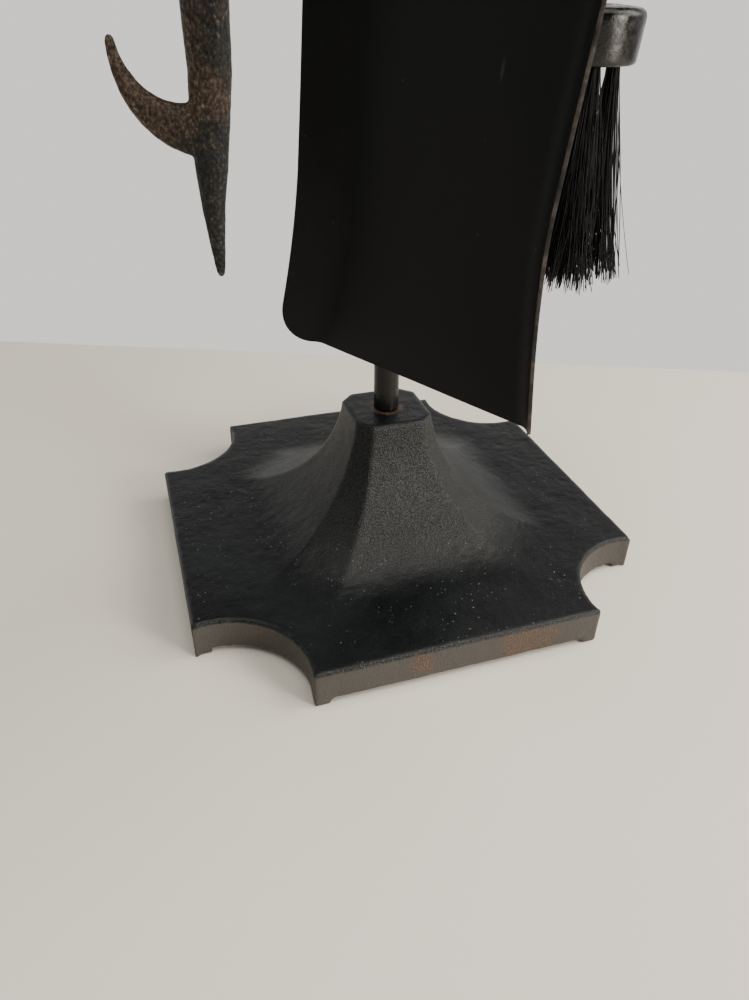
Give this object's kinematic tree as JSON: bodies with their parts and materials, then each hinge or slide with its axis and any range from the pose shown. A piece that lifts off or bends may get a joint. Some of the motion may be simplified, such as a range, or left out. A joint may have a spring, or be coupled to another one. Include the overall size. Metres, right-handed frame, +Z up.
{
  "type": "fireplace tool set",
  "caption": "Cast iron stand with hook arms that carries a poker with a barb, an ash shovel and a round brush, each hung from a loose ring.",
  "frame": {"origin": "middle of the whole set's footprint box, on the floor", "axes": "+Z up along the rod, +X to the right along the front edge of the base, -Y to the front, where the shovel hangs"},
  "size_m": [0.23, 0.2636, 0.7463],
  "materials": {
    "stand_casting": "satin black paint over sand-cast iron, worn to grey and rust at the edges",
    "hardware_casting": "satin black paint over cast iron",
    "black_steel": "satin black painted steel bar",
    "fastener_steel": "zinc plated, dull",
    "poker_iron": "bare iron, handled dark with brown rust",
    "shovel_sheet": "smooth satin black paint on sheet steel, bare at the cut edges",
    "brush_wood": "gloss black lacquer, worn",
    "bristle": "coarse black bristle"
  },
  "bodies": {
    "stand": {"base_casting": "stand_casting", "base_washer": "fastener_steel", "base_nut": "fastener_steel", "stand_rod": "black_steel", "holder_hub": "hardware_casting", "hook_arm_front": "black_steel", "hook_arm_right": "black_steel", "hook_arm_back": "black_steel", "hook_arm_left": "black_steel", "carry_knob": "hardware_casting"},
    "brush_ring": {"brush_hanging_ring": "black_steel"},
    "brush": {"brush_handle": "hardware_casting", "brush_hanging_eye": "black_steel", "brush_collar": "black_steel", "brush_shaft": "black_steel", "brush_head": "brush_wood", "bristle_tuft_centre": "bristle", "bristle_tuft_1": "bristle", "bristle_tuft_2": "bristle", "bristle_tuft_3": "bristle", "bristle_tuft_4": "bristle", "bristle_tuft_5": "bristle"},
    "poker_ring": {"poker_hanging_ring": "black_steel"},
    "poker": {"poker_handle": "hardware_casting", "poker_hanging_eye": "black_steel", "poker_collar": "black_steel", "poker_shaft": "black_steel", "poker_head": "poker_iron"},
    "shovel_ring": {"shovel_hanging_ring": "black_steel"},
    "shovel": {"shovel_handle": "hardware_casting", "shovel_hanging_eye": "black_steel", "shovel_collar": "black_steel", "shovel_shaft": "black_steel", "shovel_pan": "shovel_sheet", "pan_rivet_lower": "black_steel", "pan_rivet_upper": "black_steel"}
  },
  "joints": [
    {"name": "brush_lift_off", "type": "slide", "parent": "stand", "child": "brush_ring", "axis": [0.6964, -0.1228, 0.7071], "range_m": [0, 0.09]},
    {"name": "brush_swing", "type": "hinge", "parent": "brush_ring", "child": "brush", "pos_m": [0.07878, 0.00287, 0.642], "axis": [-0.1736, -0.9848, 0], "range_deg": [-3, 35]},
    {"name": "poker_lift_off", "type": "slide", "parent": "stand", "child": "poker_ring", "axis": [-0.6964, 0.1228, 0.7071], "range_m": [0, 0.09]},
    {"name": "poker_swing", "type": "hinge", "parent": "poker_ring", "child": "poker", "pos_m": [-0.07878, 0.03065, 0.642], "axis": [0.1736, 0.9848, 0], "range_deg": [-3, 35]},
    {"name": "shovel_lift_off", "type": "slide", "parent": "stand", "child": "shovel_ring", "axis": [-0.1228, -0.6964, 0.7071], "range_m": [0, 0.09]},
    {"name": "shovel_swing", "type": "hinge", "parent": "shovel_ring", "child": "shovel", "pos_m": [-0.01389, -0.06202, 0.642], "axis": [-0.9848, 0.1736, 0], "range_deg": [-3, 35]}
  ]
}
